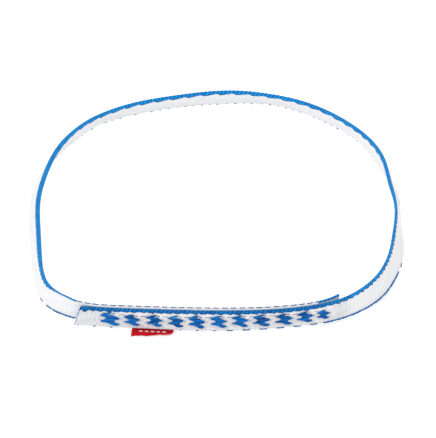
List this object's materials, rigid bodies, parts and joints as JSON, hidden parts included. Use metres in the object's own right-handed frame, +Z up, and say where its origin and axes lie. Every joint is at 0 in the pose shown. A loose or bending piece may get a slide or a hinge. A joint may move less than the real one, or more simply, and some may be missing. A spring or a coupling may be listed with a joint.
{
  "type": "flat web sling",
  "caption": "Closed loop of narrow woven webbing with a coloured selvedge, sewn in a lap by lightning-shaped bar tacks, with a folded woven label in the seam.",
  "frame": {"origin": "middle of the loop on the floor it stands on", "axes": "+X to the right along the sewn lap, +Y from the lap across the loop, +Z up across the webbing's width, towards the coloured selvedge"},
  "size_m": [0.1655, 0.2061, 0.0124],
  "materials": {
    "webbing_white": "matt, fine woven rib with a slight silk sheen",
    "selvedge_blue": "satin filament yarn",
    "thread_blue": "satin sewing thread",
    "sealed_end": "melted fibre, slightly glossy",
    "label_red": "satin woven tape",
    "label_white": "woven mark"
  },
  "bodies": {
    "sling": {"webbing": "webbing_white", "upper_selvedge": "selvedge_blue", "lower_catch_thread": "selvedge_blue", "inner_end_seal": "sealed_end", "outer_end_seal": "sealed_end", "tack_outer_01": "thread_blue", "tack_outer_02": "thread_blue", "tack_outer_03": "thread_blue", "tack_outer_04": "thread_blue", "tack_outer_05": "thread_blue", "tack_outer_06": "thread_blue", "tack_outer_07": "thread_blue", "tack_outer_08": "thread_blue", "tack_outer_09": "thread_blue", "tack_outer_10": "thread_blue", "tack_outer_11": "thread_blue", "tack_inner_01": "thread_blue", "tack_inner_02": "thread_blue", "tack_inner_03": "thread_blue", "tack_inner_04": "thread_blue", "tack_inner_05": "thread_blue", "tack_inner_06": "thread_blue", "tack_inner_07": "thread_blue", "tack_inner_08": "thread_blue", "tack_inner_09": "thread_blue", "tack_inner_10": "thread_blue", "tack_inner_11": "thread_blue", "label_root": "label_red"},
    "label": {"label_flap": "label_red", "label_marks": "label_white"}
  },
  "joints": [
    {"name": "label_fold", "type": "hinge", "parent": "sling", "child": "label", "pos_m": [-0.02685, -0.09962, 0.00061], "axis": [-0.996, 0.0897, 0], "range_deg": [-80, 66]}
  ]
}
